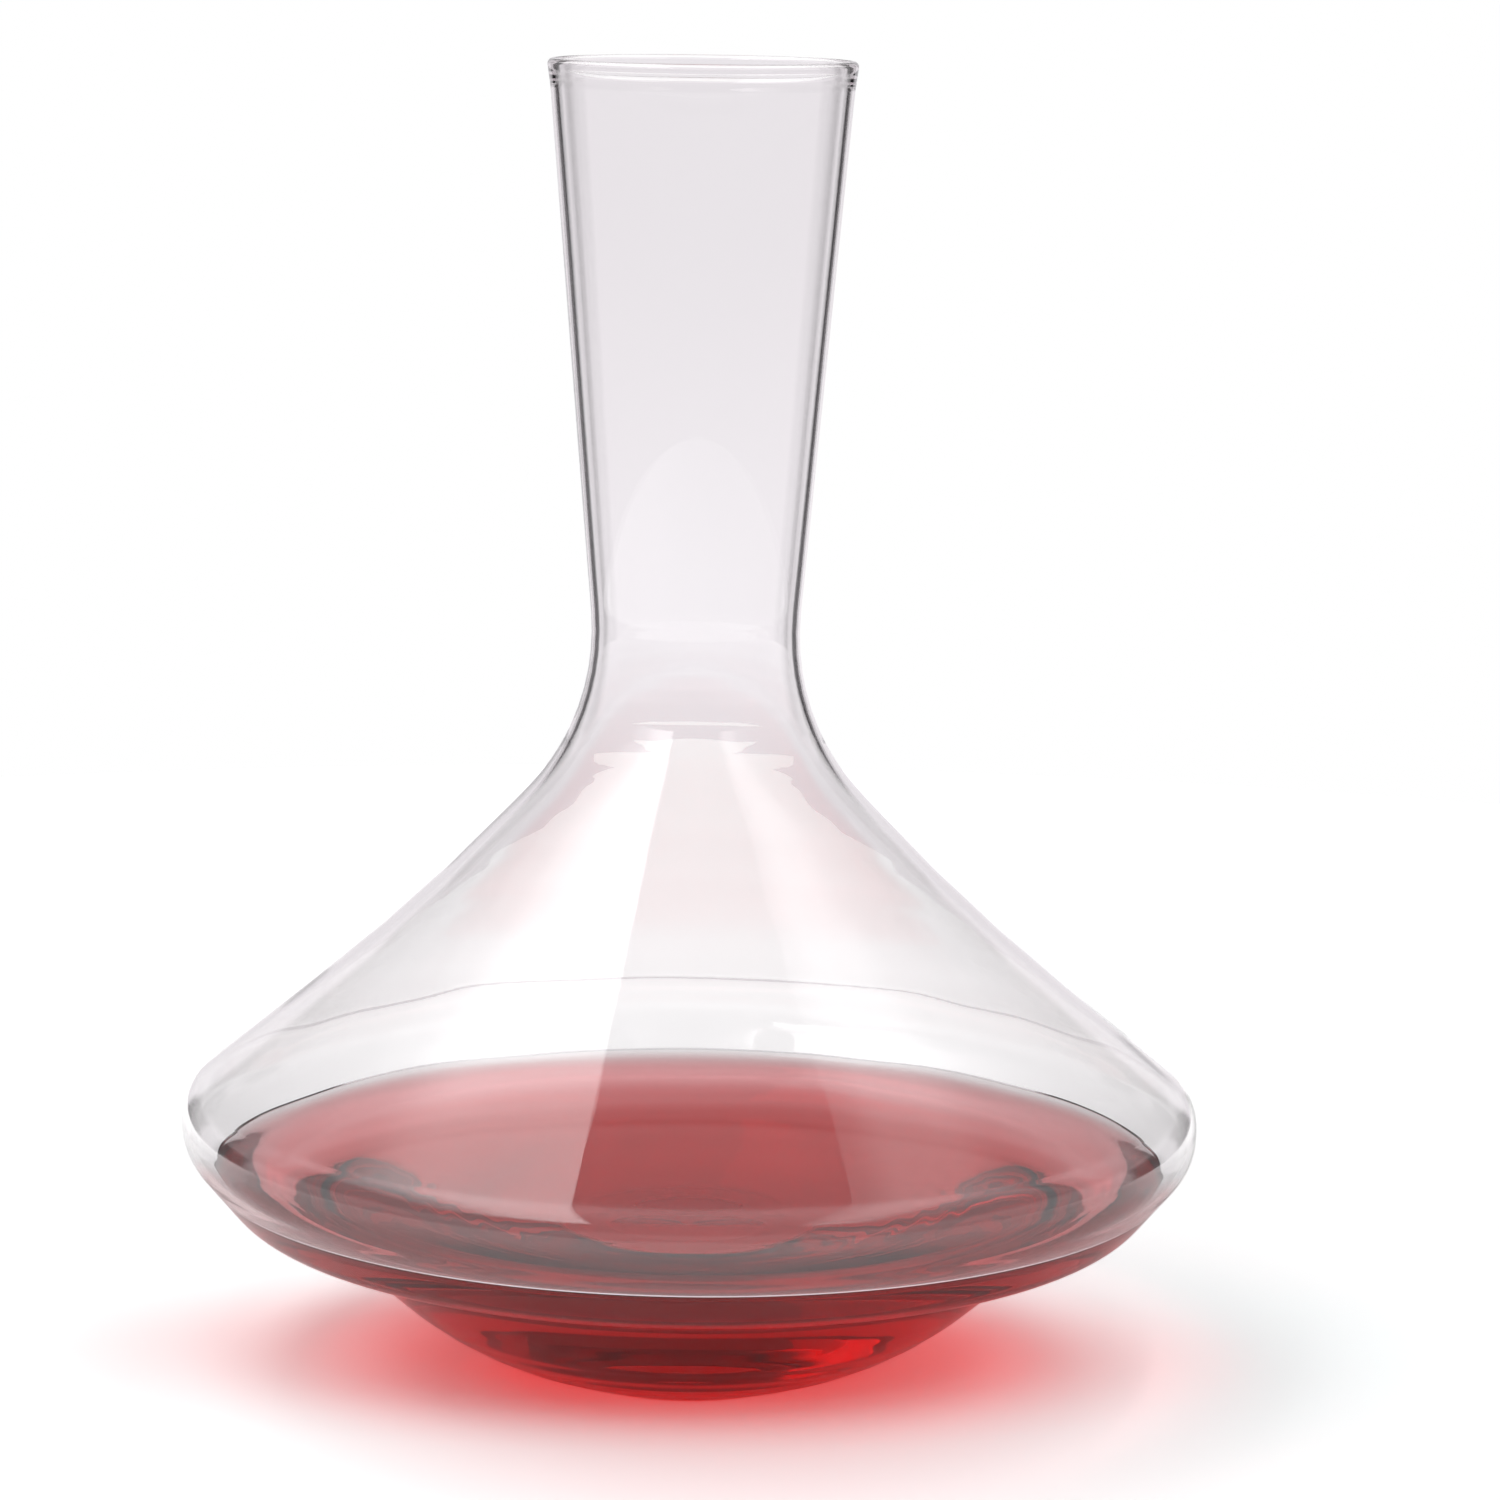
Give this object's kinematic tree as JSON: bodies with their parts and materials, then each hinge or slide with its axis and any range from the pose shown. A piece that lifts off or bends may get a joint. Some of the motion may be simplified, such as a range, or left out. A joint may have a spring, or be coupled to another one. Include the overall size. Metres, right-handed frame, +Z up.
{
  "type": "wine decanter",
  "caption": "Wide-bellied clear glass wine decanter with a flared neck and a small flat foot, part filled with red wine.",
  "frame": {"origin": "centre of the foot on the surface that the decanter stands on", "axes": "+Z up along the axis of revolution, from the foot to the mouth; X and Y are any two square directions, since the decanter is round"},
  "size_m": [0.22, 0.22, 0.284],
  "materials": {
    "clear_glass": "clear, fire-polished",
    "red_wine": "clear deep red liquid"
  },
  "bodies": {
    "root": {"decanter_glass": "clear_glass", "red_wine": "red_wine"}
  },
  "joints": []
}
